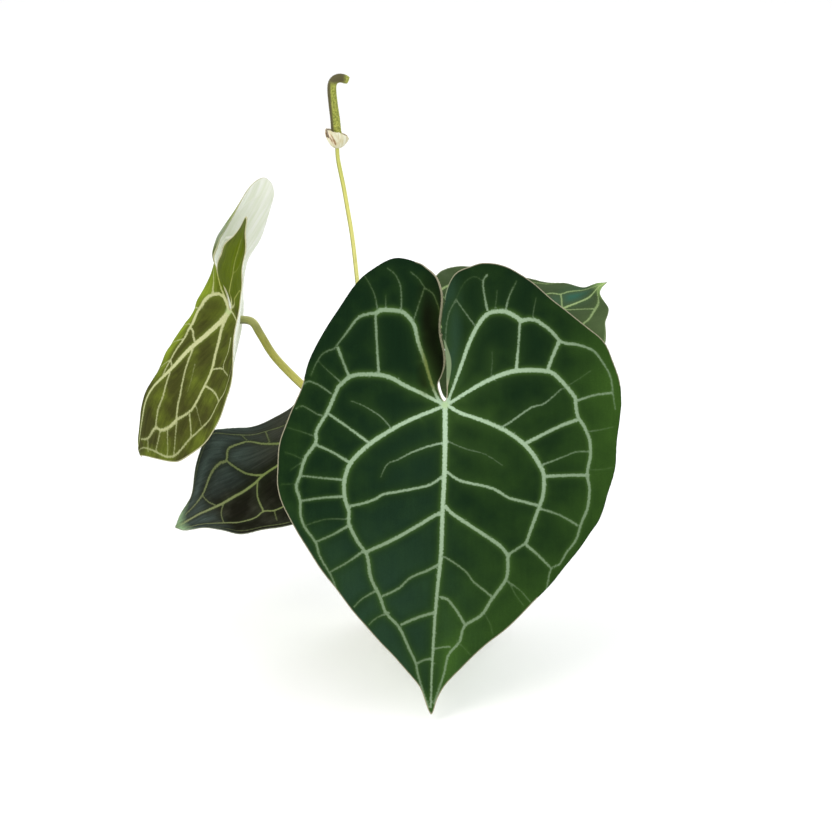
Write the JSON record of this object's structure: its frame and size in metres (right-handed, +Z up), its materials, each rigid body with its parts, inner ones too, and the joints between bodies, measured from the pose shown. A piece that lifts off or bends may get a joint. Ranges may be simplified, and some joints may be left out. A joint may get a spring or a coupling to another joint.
{
  "type": "potted anthurium clarinervium",
  "caption": "Heart-leaved anthurium in a plain round pot, with velvety white-veined leaves on slender stalks and a hooked flower spike above a withered bract",
  "frame": {"origin": "centre of the pot's underside, where the pot stands on its support", "axes": "+Z up along the pot's axis; -Y is the side that the upper face of the largest leaf looks toward; +X completes a right-handed frame, to the right as seen from the front"},
  "size_m": [0.3319, 0.2281, 0.3896],
  "materials": {
    "pot": "smooth moulded plastic with a soft shine",
    "potting_mix": "coarse bark and fibre, dull",
    "crown": "rough green-brown stem",
    "stalk_front": "smooth green stalk",
    "stalk_left": "smooth green stalk",
    "stalk_low": "smooth green stalk",
    "stalk_back": "smooth green stalk",
    "blade_front": "velvety dark green with pale veins",
    "blade_left": "velvety olive green with cream veins",
    "blade_low": "velvety blackish green with yellow-green veins",
    "blade_back": "velvety grey-green with light green veins",
    "flower_stalk": "smooth yellow-green stalk",
    "spathe": "dry and papery",
    "spadix": "finely knobbly"
  },
  "bodies": {
    "root": {"pot": "pot", "potting_mix": "potting_mix", "crown": "crown", "stalk_front": "stalk_front", "stalk_left": "stalk_left", "stalk_low": "stalk_low", "stalk_back": "stalk_back", "blade_front": "blade_front", "blade_left": "blade_left", "blade_low": "blade_low", "blade_back": "blade_back", "flower_stalk": "flower_stalk", "spathe": "spathe", "spadix": "spadix"}
  },
  "joints": []
}
